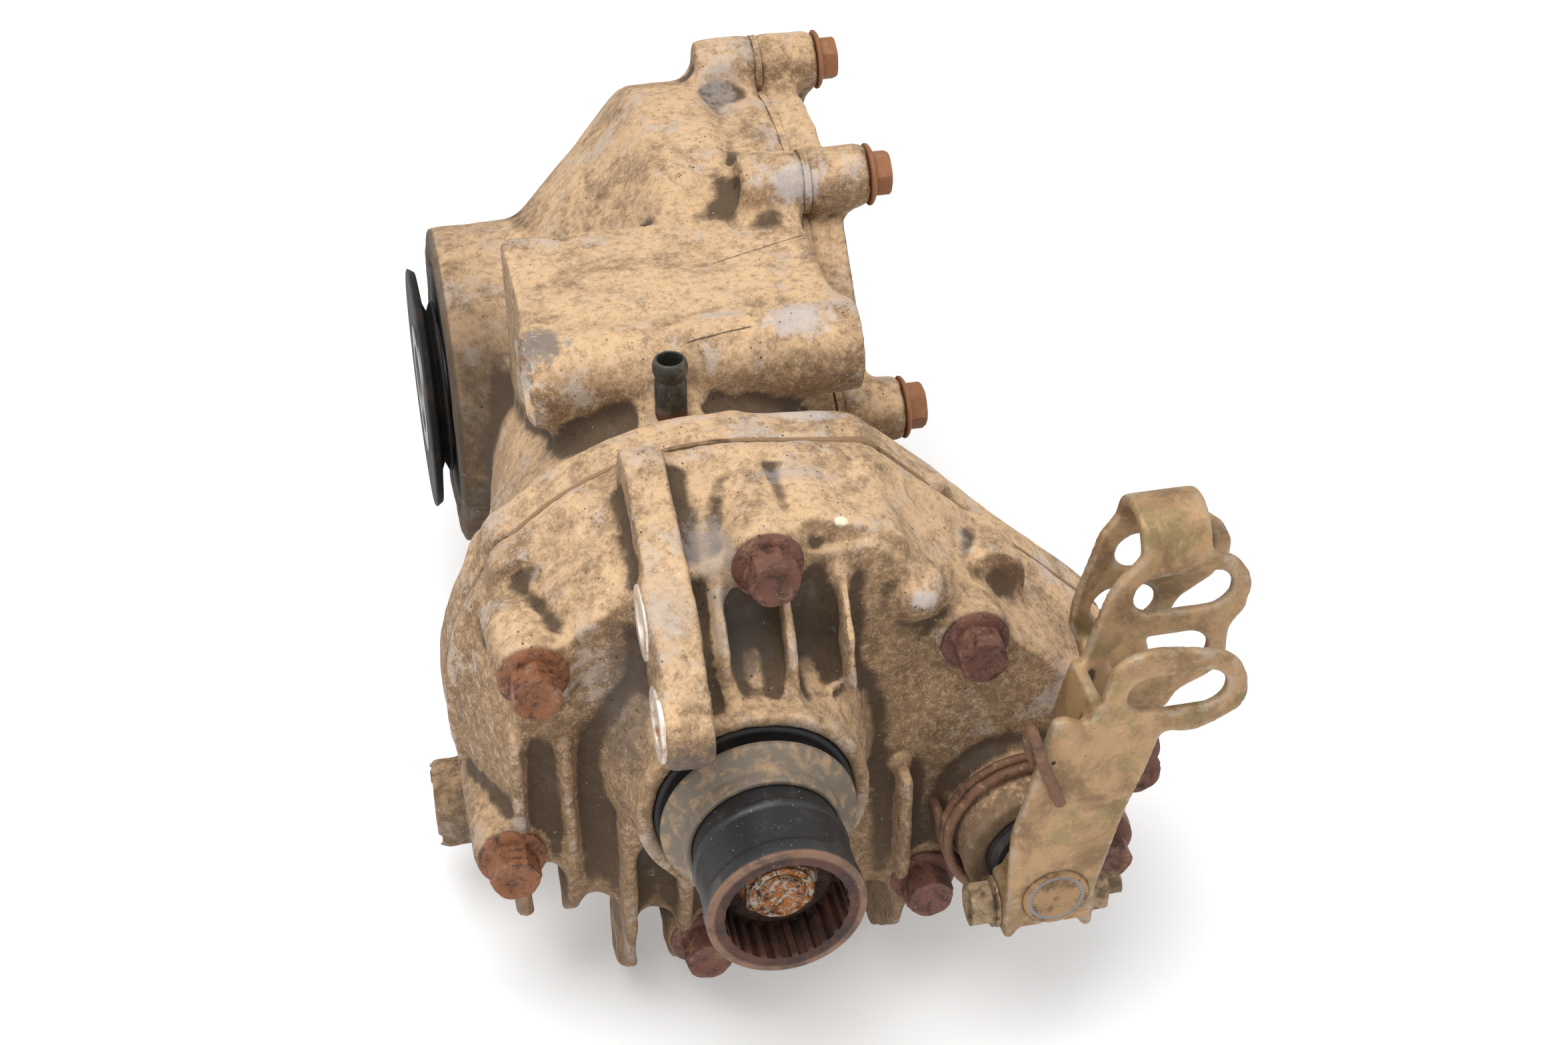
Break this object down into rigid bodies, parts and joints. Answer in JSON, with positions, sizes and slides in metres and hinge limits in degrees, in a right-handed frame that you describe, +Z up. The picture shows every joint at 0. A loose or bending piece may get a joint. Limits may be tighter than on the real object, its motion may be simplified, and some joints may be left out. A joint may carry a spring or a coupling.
{
  "type": "rear differential",
  "caption": "Shaft-drive rear final gear case: bevel ring and pinion, through axle hub, sealed multi-disc brake with cam lever and return spring.",
  "frame": {"origin": "where the axle axis meets the input axis", "axes": "+X along the axle towards the ring gear cover, -Y towards the input coupling's mouth, +Z up"},
  "size_m": [0.21, 0.348, 0.1909],
  "materials": {
    "cast_aluminium": "dusty as-cast, oxidised",
    "gear_steel": "ground and oiled",
    "bearing_steel": "polished",
    "rusted_steel": "rusted bolt steel",
    "zinc_steel": "worn yellow zinc plate",
    "dark_steel": "blackened, rust at the edges",
    "spring_steel": "rusted wire",
    "seal_rubber": "matte",
    "gasket_fibre": "matte",
    "cage_brass": "machined",
    "friction_lining": "fibrous"
  },
  "bodies": {
    "housing": {"brake_cover": "cast_aluminium", "brake_cover_bolts": "rusted_steel", "brake_cover_gasket": "gasket_fibre", "brake_drain_plug": "rusted_steel", "cam_shaft_seal": "seal_rubber", "dowel_pins": "bearing_steel", "filler_o_ring": "seal_rubber", "front_bearing_outer_race": "bearing_steel", "gear_case": "cast_aluminium", "gear_drain_plug": "zinc_steel", "input_oil_seal": "seal_rubber", "left_axle_bearing_outer_race": "bearing_steel", "left_axle_seal": "seal_rubber", "oil_filler_plug": "dark_steel", "pinion_bearing_outer_race": "bearing_steel", "pinion_bearing_ring_nut": "gear_steel", "pinion_oil_seal": "seal_rubber", "pinion_shim": "gear_steel", "return_spring": "spring_steel", "right_axle_bearing_outer_race": "bearing_steel", "right_axle_seal": "seal_rubber", "ring_cover_bolts": "rusted_steel", "ring_cover_gasket": "gasket_fibre", "ring_gear_cover": "cast_aluminium", "steel_plates": "gear_steel", "vent_pipe": "dark_steel"},
    "input_train": {"input_coupling": "dark_steel", "coupling_nut": "zinc_steel", "dust_shield": "zinc_steel", "pinion_shaft": "gear_steel", "front_bearing_inner_race": "bearing_steel", "pinion_bearing_inner_race": "bearing_steel", "brake_hub": "gear_steel", "friction_discs": "friction_lining", "brake_hub_circlip": "dark_steel"},
    "axle_train": {"axle_hub": "gear_steel", "ring_gear": "gear_steel", "ring_gear_bolts": "gear_steel", "left_axle_bearing_inner_race": "bearing_steel", "right_axle_bearing_inner_race": "bearing_steel", "left_dust_seal": "seal_rubber", "right_dust_seal": "seal_rubber"},
    "lever_train": {"brake_lever": "zinc_steel", "brake_cam_shaft": "gear_steel", "lever_clamp_bolt": "zinc_steel", "lever_clamp_nut": "zinc_steel"},
    "cam_train": {"cam_ring": "gear_steel", "cam_balls": "bearing_steel"},
    "brake_pressure_plate": {"pressure_plate": "gear_steel"},
    "front_bearing_ball_set": {"front_bearing_balls": "bearing_steel", "front_bearing_cage": "cage_brass"},
    "pinion_bearing_ball_set": {"pinion_bearing_balls": "bearing_steel", "pinion_bearing_cage": "cage_brass"},
    "left_axle_bearing_ball_set": {"left_axle_bearing_balls": "bearing_steel", "left_axle_bearing_cage": "cage_brass"},
    "right_axle_bearing_ball_set": {"right_axle_bearing_balls": "bearing_steel", "right_axle_bearing_cage": "cage_brass"}
  },
  "joints": [
    {"name": "axle_spin", "type": "hinge", "parent": "housing", "child": "axle_train", "pos_m": [0, 0, 0], "axis": [1, 0, 0], "continuous": true},
    {"name": "input_spin", "type": "hinge", "parent": "housing", "child": "input_train", "pos_m": [0, 0, 0], "axis": [0, 1, 0], "continuous": true},
    {"name": "brake_lever_turn", "type": "hinge", "parent": "housing", "child": "lever_train", "pos_m": [0.077, -0.226, -0.033], "axis": [0, -1, 0], "range_deg": [0, 14], "stiffness_Nm_per_rad": 2, "springref_deg": -14.9, "deforming": ["return_spring"]},
    {"name": "cam_ring_turn", "type": "hinge", "parent": "housing", "child": "cam_train", "pos_m": [0, -0.18, 0], "axis": [0, -1, 0], "range_deg": [-5.6, 0]},
    {"name": "pressure_plate_slide", "type": "slide", "parent": "housing", "child": "brake_pressure_plate", "axis": [0, 1, 0], "range_m": [0, 0.00094]},
    {"name": "front_bearing_roll", "type": "hinge", "parent": "housing", "child": "front_bearing_ball_set", "pos_m": [0, -0.1955, 0], "axis": [0, 1, 0], "continuous": true},
    {"name": "pinion_bearing_roll", "type": "hinge", "parent": "housing", "child": "pinion_bearing_ball_set", "pos_m": [0, -0.092, 0], "axis": [0, 1, 0], "continuous": true},
    {"name": "left_axle_bearing_roll", "type": "hinge", "parent": "housing", "child": "left_axle_bearing_ball_set", "pos_m": [-0.041, 0, 0], "axis": [1, 0, 0], "continuous": true},
    {"name": "right_axle_bearing_roll", "type": "hinge", "parent": "housing", "child": "right_axle_bearing_ball_set", "pos_m": [0.0515, 0, 0], "axis": [1, 0, 0], "continuous": true}
  ],
  "couplings": [
    {"joint": "input_spin", "follows": "axle_spin", "ratio": 3.4167},
    {"joint": "cam_ring_turn", "follows": "brake_lever_turn", "ratio": -0.39279},
    {"joint": "pressure_plate_slide", "follows": "brake_lever_turn", "m_per_rad": 0.0038197},
    {"joint": "front_bearing_roll", "follows": "axle_spin", "ratio": 1.3849},
    {"joint": "pinion_bearing_roll", "follows": "axle_spin", "ratio": 1.3875},
    {"joint": "left_axle_bearing_roll", "follows": "axle_spin", "ratio": 0.41},
    {"joint": "right_axle_bearing_roll", "follows": "axle_spin", "ratio": 0.41}
  ]
}
